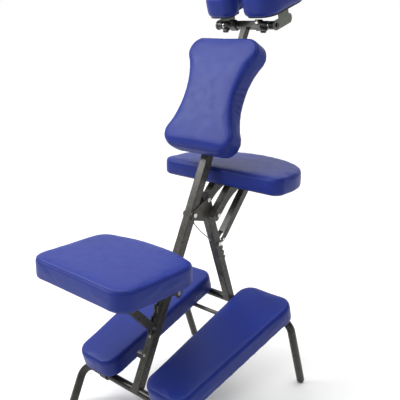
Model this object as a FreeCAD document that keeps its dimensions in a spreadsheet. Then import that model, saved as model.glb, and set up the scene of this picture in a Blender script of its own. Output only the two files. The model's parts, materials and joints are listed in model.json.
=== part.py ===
import FreeCAD, Part
import math
import os
import re

import Sketcher

# A kneeling massage chair: a sloping main post on a bent rear leg, a second post on a bent front leg
# hinged to it, a seat, two knee pads, an armrest, a chest pad and a face cradle on a telescoping mast.
# Millimetres and degrees. +Z is up, +Y is the way the sitter faces and +X is the sitter's right.
# The origin is on the floor, under the middle of the chair's bounding box.

SIZES = {
    # Main post, and the bent tube of the rear leg it stands on
    "rear_tube_y": -254.725,
    "rear_tube_z": 143.0,
    "post_lean": 25.84,
    "post_size": 30.0,
    "post_wall": 2.0,
    "post_length": 1150.0,
    "post_corner": 3.0,
    "leg_half_width": 261.5,
    "leg_radius": 14.0,
    "leg_wall": 1.5,
    "leg_bend": 55.0,
    "leg_lift": 13.0,
    "foot_insert": 22.0,
    # Front leg and its post, which folds on the main post
    "front_reach": 474.0,
    "front_tube_z": 292.6,
    "front_lean": 19.36,
    "front_post_top": 458.0,
    "fold_height": 590.7,
    "bolt_radius": 4.0,
    "bore_radius": 4.05,
    "nut_radius": 8.0,
    "nut_height": 6.0,
    "plate_gap": 0.4,
    "plate_thickness": 3.0,
    # Pressed arms under the seat and the armrest
    "arm_inner": 20.0,
    "arm_width": 26.0,
    "arm_wall": 2.5,
    "arm_reach": 150.0,
    "seat_axle_height": 338.0,
    "seat_arm_height": 106.2,
    "rest_axle_height": 388.0,
    "rest_arm_height": 101.3,
    # Seat
    "seat_tilt": 1.09,
    "seat_back": -378.0,
    "seat_front": -93.0,
    "seat_half_back": 204.0,
    "seat_half_front": 206.0,
    "seat_front_bow": 45.0,
    "seat_cushion": 60.0,
    "board": 7.0,
    "board_inset": 12.0,
    "board_gap": 0.3,
    "seat_corner": 56.0,
    "pad_crown": 9.0,
    # Armrest
    "rest_back": 6.0,
    "rest_side": 95.0,
    "rest_front": 282.0,
    "rest_half": 250.0,
    "rest_shift": 28.0,
    "rest_corner": 155.0,
    "rest_cushion": 52.5,
    # Struts and toothed racks
    "strut_size": 25.0,
    "strut_wall": 1.5,
    "seat_hinge_y": -259.0,
    "rest_hinge_y": 243.0,
    "hinge_drop": 18.0,
    "seat_notch": 210.0,
    "seat_pin_back": 27.0,
    "seat_pin_radius": 4.0,
    "seat_pitch": 38.0,
    "seat_teeth": 3,
    "rest_notch": 258.7,
    "rest_pin_front": 29.5,
    "rest_pin_radius": 3.5,
    "rest_pitch": 22.0,
    "rest_teeth": 4,
    "rack_width": 18.0,
    "rack_slot": 8.0,
    # Knee pads
    "knee_tilt": 15.53,
    "knee_back": -37.0,
    "knee_front": 522.0,
    "knee_inner": 69.0,
    "knee_outer_back": 238.0,
    "knee_outer_front": 290.0,
    "knee_bottom": 32.2,
    "knee_cushion": 60.4,
    "knee_corner": 54.0,
    "knee_rod_y": 401.0,
    "knee_rod_radius": 7.5,
    "knee_rod_half": 190.0,
    "strap_x": 150.0,
    "strap_width": 30.0,
    "strap_radius": 18.5,
    # Chest pad and its sliding carriage
    "chest_bottom": 782.0,
    "chest_top": 1169.0,
    "chest_waist": 978.0,
    "chest_half": 143.0,
    "chest_waist_half": 108.0,
    "chest_lobe": 52.0,
    "chest_back": 33.0,
    "chest_cushion": 57.0,
    "chest_board": 11.0,
    "carriage_bottom": 940.0,
    "carriage_height": 80.0,
    "carriage_size": 37.0,
    # Mast and face cradle
    "mast_size": 22.0,
    "mast_wall": 1.5,
    "mast_bottom": 870.0,
    "cradle_height": 1247.0,
    "cradle_tilt": 17.5,
    "lever_tilt": 32.0,
    "axle_radius": 8.0,
    "axle_half": 120.5,
    "cradle_arm_x": 118.0,
    "cradle_arm_length": 76.0,
    "cradle_arm_radius": 16.0,
    "cradle_board_low": 35.0,
    "cradle_board": 10.0,
    "cradle_back": -54.0,
    "cradle_front": 215.0,
    "cradle_half": 145.0,
    "face_hole": 52.0,
    "face_hole_back": 35.0,
    "face_hole_front": 130.0,
    "face_gap": 18.0,
    "face_cushion": 80.0,
    # Knobs and cable
    "knob_radius": 18.0,
    "knob_length": 22.0,
    "cable_radius": 1.6,
    "cable_lug": 5.0,
    "cable_clearance": 1.4,
}

X_AXIS = FreeCAD.Vector(1, 0, 0)
Y_AXIS = FreeCAD.Vector(0, 1, 0)
SIDES = {"left": -1, "right": 1}

doc = FreeCAD.newDocument("kneeling_massage_chair")
sheet = doc.addObject("Spreadsheet::Sheet", "Sizes")
for row, (alias, amount) in enumerate(SIZES.items(), start=1):
    sheet.set(f"A{row}", alias)
    sheet.set(f"B{row}", str(amount))
    sheet.setAlias(f"B{row}", alias)
doc.recompute()

nodes = []

# Heights of fittings along the main post and, for the cable's lower end, along the front post
SIDE_KNOB_HEIGHT = 110.0
MAST_KNOB_HEIGHT = 1130.0
REAR_SCREW_HEIGHTS = (116.0, 178.0)
CABLE_TOP = 572.0
CABLE_BOTTOM = 288.0


# ---- Sizes and places ----

def bound(expression):
    """The expression with each size's name made a reference to its cell."""
    return re.sub(r"[a-z_]+", lambda word: "Sizes." + word.group() if word.group() in SIZES else word.group(),
                  expression)


def number(size):
    """The number that a size stands for: a number as it is, or an expression of the sheet's names."""
    if isinstance(size, str):
        return float(sheet.evalExpression(bound(size)))
    return float(size)


def set_size(item, prop, size):
    """Give a property its number, and bind it to the sheet when it is an expression."""
    if isinstance(size, str):
        item.setExpression(prop, bound(size))
    else:
        setattr(item, prop, size)


def tilted(y, z, angle):
    """A frame at (0, y, z) turned about X: a negative angle leans its Z axis forward."""
    return FreeCAD.Placement(FreeCAD.Vector(0, y, z), FreeCAD.Rotation(X_AXIS, angle))


def world(frame, y, z):
    """The point (0, y, z) of a frame, in the chair's own axes."""
    return frame.multVec(FreeCAD.Vector(0, y, z))


def inside(frame, point):
    """The (y, z) of a point of the chair, in a frame."""
    local = frame.inverse().multVec(point)
    return local.y, local.z


REAR = FreeCAD.Vector(0, number("rear_tube_y"), number("rear_tube_z"))
POST = tilted(REAR.y, REAR.z, -number("post_lean"))
FRONT = tilted(number("rear_tube_y + front_reach"), number("front_tube_z"), number("front_lean"))
KNEES = tilted(REAR.y, REAR.z, number("knee_tilt"))

seat_axle = world(POST, 0, number("seat_axle_height"))
SEAT = tilted(seat_axle.y, seat_axle.z, -number("seat_tilt"))
rest_axle = world(FRONT, 0, number("rest_axle_height"))
REST = tilted(rest_axle.y, rest_axle.z, 0)
cradle_axle = world(POST, 0, number("cradle_height"))
CRADLE = tilted(cradle_axle.y, cradle_axle.z, number("cradle_tilt"))
LEVER = tilted(cradle_axle.y, cradle_axle.z, number("lever_tilt"))
fold_bolt = world(POST, 0, number("fold_height"))


# ---- Building blocks ----

def keep(item, label, frame):
    """Name a finished sub-part, put it in its frame and list it for export."""
    item.Label = label
    item.Placement = frame.multiply(item.Placement)
    nodes.append(item)
    return item


def new_sketch(body, plane, offset=0):
    """An empty sketch on one of the body's own origin planes, moved along its normal."""
    sketch = body.newObject("Sketcher::SketchObject", "Sketch")
    support = [item for item in body.Origin.OriginFeatures if item.Role == plane][0]
    sketch.AttachmentSupport = [(support, "")]
    sketch.MapMode = "FlatFace"
    if isinstance(offset, str):
        sketch.setExpression("AttachmentOffset.Base.z", bound(offset))
    else:
        sketch.AttachmentOffset = FreeCAD.Placement(FreeCAD.Vector(0, 0, offset), FreeCAD.Rotation())
    return sketch


def pinned(edge, end, corner):
    """The constraints, with their sizes, that fix an edge's end at a corner given as two sizes."""
    fixed = []
    for kind, axis, size in (("DistanceX", -2, corner[0]), ("DistanceY", -1, corner[1])):
        if abs(number(size)) < 1e-9:
            fixed.append((Sketcher.Constraint("PointOnObject", edge, end, axis), None))
        else:
            fixed.append((Sketcher.Constraint(kind, edge, end, number(size)), size))
    return fixed


def constrain(sketch, fixed):
    """Add all of a sketch's constraints at once, then bind those whose size is an expression."""
    sketch.addConstraint([constraint for constraint, _ in fixed])
    for index, (_, size) in enumerate(fixed):
        if isinstance(size, str):
            sketch.setExpression(f"Constraints[{index}]", bound(size))


def arc_middle(start, finish, radius):
    """The middle of the arc from start to finish; a positive radius bulges to the right of the way."""
    chord = finish - start
    sag = abs(radius) - math.sqrt(radius ** 2 - chord.Length ** 2 / 4)
    outward = FreeCAD.Vector(chord.y, -chord.x, 0).normalize()
    return (start + finish) * 0.5 + outward * math.copysign(sag, radius)


def draw_path(sketch, corners, arcs, closed):
    """Lines, and arcs where arcs gives a side its radius, through corners given as pairs of sizes."""
    points = [FreeCAD.Vector(number(x), number(y), 0) for x, y in corners]
    sides = len(points) if closed else len(points) - 1
    ends = []
    fixed = []
    for side in range(sides):
        start, finish = points[side], points[(side + 1) % len(points)]
        if side not in arcs:
            sketch.addGeometry(Part.LineSegment(start, finish), False)
            ends.append((1, 2))
            continue
        radius = number(arcs[side])
        middle = arc_middle(start, finish, radius)
        if radius > 0:
            sketch.addGeometry(Part.Arc(start, middle, finish), False)
            ends.append((1, 2))
        else:
            sketch.addGeometry(Part.Arc(finish, middle, start), False)
            ends.append((2, 1))
        fixed.append((Sketcher.Constraint("Radius", side, abs(radius)), None))
    for side in range(sides):
        fixed += pinned(side, ends[side][0], corners[side])
        if closed or side + 1 < sides:
            after = (side + 1) % sides
            fixed.append((Sketcher.Constraint("Coincident", side, ends[side][1], after, ends[after][0]), None))
    if not closed:
        fixed += pinned(sides - 1, ends[-1][1], corners[-1])
    constrain(sketch, fixed)


def outline(body, plane, corners, arcs=None, offset=0):
    """A closed outline on a plane of the body."""
    sketch = new_sketch(body, plane, offset)
    draw_path(sketch, corners, arcs or {}, True)
    return sketch


def circles(body, plane, centre, radii, offset=0):
    """Concentric circles on a plane of the body."""
    sketch = new_sketch(body, plane, offset)
    middle = FreeCAD.Vector(number(centre[0]), number(centre[1]), 0)
    fixed = []
    for edge, radius in enumerate(radii):
        sketch.addGeometry(Part.Circle(middle, FreeCAD.Vector(0, 0, 1), number(radius)), False)
        fixed += pinned(edge, 3, centre)
        fixed.append((Sketcher.Constraint("Radius", edge, number(radius)), radius))
    constrain(sketch, fixed)
    return sketch


def pad(body, sketch, length, both_ways=False):
    """Extrude a sketch into the body."""
    feature = body.newObject("PartDesign::Pad", "Pad")
    feature.Profile = sketch
    feature.SideType = "Symmetric" if both_ways else "One side"
    set_size(feature, "Length", length)
    doc.recompute()
    return feature


def cut(body, sketch, length, both_ways=True, flip=False):
    """Cut a sketch's outline out of the body, and see that it removed something."""
    before = body.Shape.Volume
    feature = body.newObject("PartDesign::Pocket", "Pocket")
    feature.Profile = sketch
    feature.SideType = "Symmetric" if both_ways else "One side"
    feature.Reversed = flip
    set_size(feature, "Length", length)
    doc.recompute()
    if body.Shape.Volume > before - 1:
        raise RuntimeError(f"{body.Label}: a pocket removed nothing")
    return feature


def fillet(body, radius, chosen):
    """Round the edges of the body that the test picks."""
    tip = body.Tip
    names = [f"Edge{index}" for index, edge in enumerate(tip.Shape.Edges, start=1) if chosen(edge)]
    if not names:
        raise RuntimeError(f"{body.Label}: no edge to round")
    feature = body.newObject("PartDesign::Fillet", "Fillet")
    feature.Base = (tip, names)
    set_size(feature, "Radius", radius)
    doc.recompute()
    return feature


def along(axis, places=None, reach=1.0):
    """A test for straight edges along an axis: all of them, or those near places on the other two axes."""
    keys = [key for key in "xyz" if key != axis]

    def chosen(edge):
        if edge.Curve.TypeId != "Part::GeomLine":
            return False
        start, finish = edge.Vertexes[0].Point, edge.Vertexes[-1].Point
        if any(abs(getattr(start, key) - getattr(finish, key)) > 1e-6 for key in keys):
            return False
        if places is None:
            return True
        return any(all(abs(getattr(start, key) - number(size)) < reach for key, size in zip(keys, place))
                   for place in places)

    return chosen


def at_level(axis, level):
    """A test for edges that lie wholly at a level of an axis."""
    def chosen(edge):
        box = edge.BoundBox
        low, high = {"x": (box.XMin, box.XMax), "y": (box.YMin, box.YMax), "z": (box.ZMin, box.ZMax)}[axis]
        return abs(low - level) < 1e-4 and abs(high - level) < 1e-4
    return chosen


def top_of(body):
    """The height of a body's highest corner."""
    return max(vertex.Z for vertex in body.Shape.Vertexes)


def new_body(label):
    """A PartDesign body, still empty."""
    body = doc.addObject("PartDesign::Body", label)
    body.Label = label
    return body


def slab(label, corners, bottom, thickness, arcs=None, corner_radius=None, crown=None):
    """A flat cushion or board: an outline in X and Y, with rounded corners and a softened top rim."""
    body = new_body(label)
    pad(body, outline(body, "XY_Plane", corners, arcs, bottom), thickness)
    if corner_radius:
        fillet(body, corner_radius, along("z"))
    if crown:
        fillet(body, crown, at_level("z", top_of(body)))
    return body


def side_plate(label, corners, middle, thickness, arcs=None):
    """A plate across X: an outline in Y and Z, centred at a place on X."""
    body = new_body(label)
    pad(body, outline(body, "YZ_Plane", corners, arcs, middle), thickness, both_ways=True)
    return body


def box(size_x, size_y, size_z, low_corner):
    """A Part box from its low corner, with its sides bound to the sheet."""
    item = doc.addObject("Part::Box", "Box")
    for prop, size in (("Length", size_x), ("Width", size_y), ("Height", size_z)):
        set_size(item, prop, size)
    item.Placement.Base = FreeCAD.Vector(*[number(size) for size in low_corner])
    return item


def cylinder(radius, length, start, direction=X_AXIS):
    """A Part cylinder from a start point along a direction."""
    item = doc.addObject("Part::Cylinder", "Cylinder")
    set_size(item, "Radius", radius)
    set_size(item, "Height", length)
    turn = FreeCAD.Rotation(FreeCAD.Vector(0, 0, 1), direction)
    item.Placement = FreeCAD.Placement(FreeCAD.Vector(*[number(size) for size in start]), turn)
    return item


def hex_head(radius, height, start, direction=X_AXIS):
    """A hexagonal nut or bolt head from a start point along a direction."""
    item = doc.addObject("Part::Prism", "Hex")
    item.Polygon = 6
    set_size(item, "Circumradius", radius)
    set_size(item, "Height", height)
    turn = FreeCAD.Rotation(FreeCAD.Vector(0, 0, 1), direction)
    item.Placement = FreeCAD.Placement(FreeCAD.Vector(*[number(size) for size in start]), turn)
    return item


def fuse(*items):
    """One solid made of several."""
    union = doc.addObject("Part::MultiFuse", "Fuse")
    union.Shapes = list(items)
    union.Refine = True
    doc.recompute()
    return union


def group(items):
    """Separate solids that share one sub-part."""
    compound = doc.addObject("Part::Compound", "Group")
    compound.Links = list(items)
    doc.recompute()
    return compound


def subtract(base, *tools):
    """A solid less the tools."""
    for tool in tools:
        less = doc.addObject("Part::Cut", "Cut")
        less.Base = base
        less.Tool = tool
        doc.recompute()
        if less.Shape.Volume > base.Shape.Volume - 1:
            raise RuntimeError("a cut removed nothing")
        base = less
    return base


def cross_bolt(y, z, grip, head="nut_radius", height="nut_height"):
    """A bolt along X with a hexagonal head and nut, at a height and depth; grip is half its free length."""
    half = number(grip)
    shank = cylinder("bolt_radius", 2 * half, (-half, y, z))
    nuts = [hex_head(head, height, (half, y, z)), hex_head(head, height, (-half, y, z), X_AXIS * -1)]
    return fuse(shank, *nuts)


# ---- Frame ----

def bent_leg(label, frame, drop):
    """A tube bent into an upside-down U: a level stretch at the frame's origin and two legs down it."""
    body = new_body(label)
    foot = f"leg_lift - {drop}"
    path = new_sketch(body, "XZ_Plane")
    corners = [
        ("-leg_half_width", foot), ("-leg_half_width", "-leg_bend"),
        ("-leg_half_width + leg_bend", "0"), ("leg_half_width - leg_bend", "0"),
        ("leg_half_width", "-leg_bend"), ("leg_half_width", foot),
    ]
    draw_path(path, corners, {1: "-leg_bend", 3: "-leg_bend"}, False)
    section = circles(body, "XY_Plane", ("-leg_half_width", "0"), ["leg_radius", "leg_radius - leg_wall"], foot)
    doc.recompute()
    pipe = body.newObject("PartDesign::AdditivePipe", "Pipe")
    pipe.Profile = section
    pipe.Spine = (path, [])
    doc.recompute()
    return keep(body, label, frame)


def foot_plugs(prefix, frame, drop):
    """A round-ended rubber plug in each leg's end, flat where it meets the floor."""
    radius = number("leg_radius")
    up = frame.Rotation.multVec(FreeCAD.Vector(0, 0, 1))
    plugs = []
    for side in SIDES.values():
        end = frame.multVec(FreeCAD.Vector(side * number("leg_half_width"), 0, number("leg_lift") - drop))
        dome = doc.addObject("Part::Sphere", "Dome")
        set_size(dome, "Radius", "leg_radius")
        dome.Placement.Base = end
        upper_half = cylinder(2 * radius, 2 * radius, end, up)
        floor = box(6 * radius, 6 * radius, 3 * radius, (end.x - 3 * radius, end.y - 3 * radius, -3 * radius))
        insert = cylinder("leg_radius - leg_wall - 0.05", "foot_insert", end, up)
        plugs.append(fuse(subtract(dome, upper_half, floor), insert))
    keep(group(plugs), f"{prefix}_feet", FreeCAD.Placement())


def square_post(label, frame, bottom, top, size, wall, corner):
    """A square tube standing on a frame's Z axis."""
    body = new_body(label)
    half = f"{size} / 2"
    low = f"-{size} / 2"
    square = [(low, low), (half, low), (half, half), (low, half)]
    pad(body, outline(body, "XY_Plane", square, offset=bottom), number(top) - number(bottom))
    fillet(body, corner, along("z"))
    inner, outer = f"{size} / 2 - {wall}", f"{wall} - {size} / 2"
    hollow = [(outer, outer), (inner, outer), (inner, inner), (outer, inner)]
    cut(body, outline(body, "XY_Plane", hollow, offset=bottom), number(top) - number(bottom), False, True)
    return keep(body, label, frame)


def cope(body, radius="leg_radius"):
    """Cut a post's foot to the round of the tube it is welded to."""
    cut(body, circles(body, "YZ_Plane", ("0", "0"), [radius]), 200)


def side_hole(body, y, z, radius="bore_radius"):
    """A hole along X right through a body."""
    cut(body, circles(body, "YZ_Plane", (y, z), [radius]), 400)


def main_frame():
    """The main post, the rear leg and the small pieces fixed to them."""
    drop = number("rear_tube_z") / math.cos(math.radians(number("post_lean")))
    bent_leg("rear_leg", POST, drop)
    foot_plugs("rear", POST, drop)
    post = square_post("main_post", POST, "0", "post_length", "post_size", "post_wall", "post_corner")
    cope(post)
    side_hole(post, 0, "fold_height")
    side_hole(post, 0, "seat_axle_height")
    cut(post, circles(post, "YZ_Plane", (0, SIDE_KNOB_HEIGHT), ["bore_radius + 0.3"], -15), 10)
    cut(post, circles(post, "XZ_Plane", (0, MAST_KNOB_HEIGHT), ["bore_radius + 0.3"], -15), 10)
    plates = "post_size / 2 + plate_gap + plate_thickness + 0.3"
    keep(cross_bolt(0, number("fold_height"), plates), "fold_bolt", POST)
    keep(cross_bolt(0, number("seat_axle_height"), "arm_inner + arm_width + 0.4"), "seat_axle", POST)
    post_collar()
    post_screws()


def post_screws():
    """Two round-headed screws low on the post's rear face, and the eye that the safety cable hangs from."""
    face = number("post_size / 2")
    heads = [cylinder(5, 3, (0, -face, z), Y_AXIS * -1) for z in REAR_SCREW_HEIGHTS]
    eye = cylinder(5, "cable_lug", (0, face, CABLE_TOP), Y_AXIS)
    keep(group([*heads, eye]), "post_screws", POST)


def post_collar():
    """A plastic guide in the top of the main post, with a rim, which the mast slides through."""
    wall_gap = 0.1
    inside_half = number("post_size / 2 - post_wall") - wall_gap
    rim_half = number("post_size / 2") + 1
    slide_half = number("mast_size / 2") + 0.15
    top = number("post_length")
    depth, rim = 40.0, 12.0
    sleeve = box(2 * inside_half, 2 * inside_half, depth, (-inside_half, -inside_half, top - depth))
    cap = box(2 * rim_half, 2 * rim_half, rim, (-rim_half, -rim_half, top))
    hollow = box(2 * slide_half, 2 * slide_half, 2 * depth, (-slide_half, -slide_half, top - depth - 1))
    stud_way = cylinder("bore_radius + 0.3", 30, (0, 0, MAST_KNOB_HEIGHT), Y_AXIS)
    keep(subtract(fuse(sleeve, cap), hollow, stud_way), "post_collar", POST)


def toothed_rack(label, frame, notch, pin_radius, pitch, count, root_out, tip_out, outward):
    """A channel with hooked notches down its edge: each tooth has a level ledge and a sloping back."""
    face = number("post_size / 2")
    ledges = [notch - pin_radius - 0.2 - step * pitch * outward for step in range(count)]
    ledges.sort(reverse=True)
    top = ledges[0] + pitch * 0.5
    bottom = ledges[-1] - pitch * 0.45
    corners = [(face, bottom), (face, top), (root_out, top)]
    for ledge in ledges:
        corners += [(root_out, ledge), (tip_out, ledge), (tip_out, ledge - 3)]
        if ledge > ledges[-1]:
            corners.append((root_out, ledge - pitch * 0.72))
    corners.append((root_out, bottom))
    corners = [(y * outward, z) for y, z in corners]
    body = side_plate(label, corners, 0, "rack_width")
    floor = root_out - 1.5
    slot = [(floor, bottom - 1), (floor, top + 1), (tip_out + 5, top + 1), (tip_out + 5, bottom - 1)]
    cut(body, outline(body, "YZ_Plane", [(y * outward, z) for y, z in slot]), "rack_slot")
    return keep(body, label, frame)


def racks():
    """The seat's rack behind the main post and the armrest's rack before the front post."""
    seat_root = number("seat_pin_back - seat_pin_radius") - 0.3
    toothed_rack("seat_rack", POST, number("seat_notch"), number("seat_pin_radius"), number("seat_pitch"),
                 int(number("seat_teeth")), seat_root, seat_root + 10.3, -1)
    rest_tip = number("rest_pin_front - rest_pin_radius") - 1
    toothed_rack("armrest_rack", FRONT, number("rest_notch"), number("rest_pin_radius"), number("rest_pitch"),
                 int(number("rest_teeth")), rest_tip - 6.5, rest_tip, 1)


def front_frame():
    """The front post and leg, with the two plates that hinge them to the main post."""
    drop = number("front_tube_z") / math.cos(math.radians(number("front_lean")))
    bent_leg("front_leg", FRONT, drop)
    foot_plugs("front", FRONT, drop)
    post = square_post("front_post", FRONT, "0", "front_post_top", "post_size", "post_wall", "post_corner")
    cope(post)
    plate_bolt_height = number("front_post_top") - 14
    side_hole(post, 0, "rest_axle_height")
    side_hole(post, 0, plate_bolt_height)
    side_hole(post, 2, "rest_notch")
    rim = number("post_size / 2")
    top = number("front_post_top")
    keep(box("post_size", "post_size", 5, (-rim, -rim, top)), "front_post_cap", FRONT)
    pivot_y, pivot_z = inside(FRONT, fold_bolt)
    axle_z = number("rest_axle_height")
    corners = [(pivot_y - 13.5, pivot_z - 12), (pivot_y - 13.5, pivot_z + 12), (-rim + 1, top - 8), (rim - 1, top),
               (rim - 1, axle_z - 43)]
    middle = number("post_size / 2 + plate_gap + plate_thickness / 2")
    for name, side in SIDES.items():
        plate = side_plate(f"hinge_plate_{name}", corners, side * middle, "plate_thickness")
        fillet(plate, 10, along("x", [corners[0], corners[1]]))
        fillet(plate, 6, along("x", [corners[3], corners[4]]))
        for y, z in ((pivot_y, pivot_z), (0, axle_z), (0, plate_bolt_height)):
            side_hole(plate, y, z)
        keep(plate, f"hinge_plate_{name}", FRONT)
    grip = "post_size / 2 + plate_gap + plate_thickness"
    keep(cross_bolt(0, axle_z, "arm_inner + arm_width + 0.4"), "armrest_axle", FRONT)
    eye = cylinder(5, "cable_lug", (0, -rim, CABLE_BOTTOM), Y_AXIS * -1)
    bolts = [cross_bolt(0, plate_bolt_height, grip), cross_bolt(2, number("rest_notch"), "post_size / 2"), eye]
    keep(group(bolts), "front_post_bolts", FRONT)


# ---- Pressed arms, struts and their hinges ----

def pressed_arm(label, frame, side, height, forward):
    """A channel bent up from an axle to a foot that flares out under its pad; forward is 1 or -1 on Y."""
    back = 22.0
    sheet_gain = 2.5
    below = -120.0
    shoulder = number(height) - back
    reach = number("arm_reach")
    corners = [(-25, -3), (-5, -23), (38, 20), (reach, height + " - 24"), (reach, height), (shoulder, height)]
    corners = [(y * forward, z) for y, z in corners]
    middle = side * number("arm_inner + arm_width / 2")
    bend = {2: -184 * forward}
    body = side_plate(label, corners, middle, "arm_width", bend)
    fillet(body, 9, along("x", [corners[0], corners[1]]))
    top = number(height) - sheet_gain
    edge = back - sheet_gain * math.sqrt(2)
    room = [(-80, edge - 80), (top - edge, top), (reach + 40, top), (reach + 40, below), (-80, below)]
    room = [(y * forward, z) for y, z in room]
    cut(body, outline(body, "YZ_Plane", room, offset=middle), "arm_width - 2 * arm_wall")
    side_hole(body, 0, 0)
    return keep(body, label, frame)


def clevis(label, frame, hinge_y, height):
    """A bracket under a board whose two ears hold a strut's hinge pin."""
    drop = number("hinge_drop")
    top = number(height)
    ear = 10.0
    plate = box(32, 44, 3, (-16, hinge_y - 22, top - 3))
    ears = []
    for side in SIDES.values():
        x = 13 if side > 0 else -16
        ears.append(box(3, 2 * ear, drop, (x, hinge_y - ear, top - drop)))
        ears.append(cylinder(ear, 3, (x, hinge_y, top - drop)))
    hole = cylinder("bolt_radius", 60, (-30, hinge_y, top - drop))
    keep(subtract(fuse(plate, *ears), hole), label, frame)


def strut(name, hinge, foot, pin_radius):
    """A square strut hinged at its top, with two ears at its foot that carry a cross pin."""
    way = hinge - foot
    length = way.Length
    frame = FreeCAD.Placement(hinge, FreeCAD.Rotation(FreeCAD.Vector(0, 0, 1), way))
    half = number("strut_size / 2")
    ear, ear_length = 10.0, 24.0
    shoulder = ear_length - length
    corners = [(-half, shoulder), (-ear, -length), (ear, -length), (half, shoulder), (half, 7), (-half, 7)]
    body = side_plate(f"{name}_strut", corners, 0, "strut_size", {1: ear + 0.001})
    room = half - number("strut_wall")
    hollow = [(-room, shoulder + 4), (room, shoulder + 4), (room, 3), (-room, 3)]
    cut(body, outline(body, "YZ_Plane", hollow), "strut_size - 2 * strut_wall")
    gap = [(-40, -length - 40), (40, -length - 40), (40, shoulder), (-40, shoulder)]
    cut(body, outline(body, "YZ_Plane", gap), "strut_size - 2 * strut_wall")
    side_hole(body, 0, 0)
    side_hole(body, 0, -length, pin_radius)
    keep(body, f"{name}_strut", frame)
    grip = number("strut_size / 2") + 1
    pin = cylinder(pin_radius, 2 * grip, (-grip, 0, -length))
    heads = [cylinder(number(pin_radius) + 2, 2.5, (grip, 0, -length)),
             cylinder(number(pin_radius) + 2, 2.5, (-grip - 2.5, 0, -length))]
    keep(fuse(pin, *heads), f"{name}_strut_pin", frame)


# ---- Seat and armrest ----

def inset(corners, distance):
    """The corners of a convex outline moved in towards its middle by about a distance on each axis."""
    xs = [number(x) for x, _ in corners]
    ys = [number(y) for _, y in corners]
    middle_x = (max(xs) + min(xs)) / 2
    middle_y = (max(ys) + min(ys)) / 2
    return [(x - math.copysign(distance, x - middle_x), y - math.copysign(distance, y - middle_y))
            for x, y in zip(xs, ys)]


def cushion_on_board(name, frame, low, thickness, shape, corner_radius):
    """A cushion wrapped round a board that lies in its underside; shape(gap) gives outline and arcs."""
    board_inset, board_gap = number("board_inset"), number("board_gap")
    corners, arcs = shape(0)
    cushion = slab(f"{name}_pad_foam", corners, low, thickness, arcs, corner_radius, "pad_crown")
    corners, arcs = shape(board_inset - board_gap)
    recess = slab(f"{name}_pad_recess", corners, low, number("board") + board_gap, arcs,
                  corner_radius - board_inset + board_gap)
    keep(subtract(cushion, recess), f"{name}_pad", frame)
    corners, arcs = shape(board_inset)
    board = slab(f"{name}_board", corners, low, "board", arcs, corner_radius - board_inset)
    keep(board, f"{name}_board", frame)


def seat_outline(gap):
    """The seat's outline moved in by a gap: a straight back edge, gently bowed sides and a bowed front."""
    corners = inset([("-seat_half_back", "seat_back"), ("seat_half_back", "seat_back"),
                     ("seat_half_front", "seat_front"), ("-seat_half_front", "seat_front")], gap)
    half, bow = number("seat_half_front") - gap, number("seat_front_bow")
    side_bow = 2000.0
    return corners, {1: side_bow, 2: (half ** 2 + bow ** 2) / (2 * bow), 3: side_bow}


def seat():
    """Seat cushion and board on two pressed arms, propped by a strut on the main post's rack."""
    low = number("seat_arm_height")
    cushion_on_board("seat", SEAT, low, number("seat_cushion + board"), seat_outline, number("seat_corner"))
    for name, side in SIDES.items():
        pressed_arm(f"seat_arm_{name}", SEAT, side, "seat_arm_height", -1)
    hinge_y = number("seat_hinge_y")
    clevis("seat_strut_bracket", SEAT, hinge_y, low)
    pin_z = low - number("hinge_drop")
    keep(cross_bolt(hinge_y, pin_z, 16, head=7, height=4), "seat_strut_bolt", SEAT)
    hinge = world(SEAT, hinge_y, pin_z)
    foot = world(POST, -number("seat_pin_back"), number("seat_notch"))
    strut("seat", hinge, foot, "seat_pin_radius")


def armrest_outline(gap):
    """The armrest's outline moved in by a gap: a straight back, short sides, round corners and a bowed front."""
    half, shift = number("rest_half") - gap, number("rest_shift")
    back, side, front = number("rest_back") + gap, number("rest_side"), number("rest_front") - gap
    corner = number("rest_corner") - gap
    across = half - corner
    short = front - side - corner
    reach = (across ** 2 + short ** 2) / (2 * short)
    touch_x = across + corner * across / reach
    touch_y = side + corner * math.sqrt(reach ** 2 - across ** 2) / reach
    right = [(half, back), (half, side), (touch_x, touch_y)]
    left = [(-x, y) for x, y in reversed(right)]
    return [(shift + x, y) for x, y in right + left], {1: corner, 2: corner + reach, 3: corner}


def armrest():
    """Armrest cushion and board on two pressed arms, propped by a strut on the front post's rack."""
    low = number("rest_arm_height")
    back_corner = 40.0
    cushion_on_board("armrest", REST, low, number("rest_cushion + board"), armrest_outline, back_corner)
    for name, side in SIDES.items():
        pressed_arm(f"armrest_arm_{name}", REST, side, "rest_arm_height", 1)
    hinge_y = number("rest_hinge_y")
    clevis("armrest_strut_bracket", REST, hinge_y, low)
    pin_z = low - number("hinge_drop")
    keep(cross_bolt(hinge_y, pin_z, 16, head=7, height=4), "armrest_strut_bolt", REST)
    hinge = world(REST, hinge_y, pin_z)
    foot = world(FRONT, number("rest_pin_front"), number("rest_notch"))
    strut("armrest", hinge, foot, "rest_pin_radius")


# ---- Knee pads ----

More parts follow.
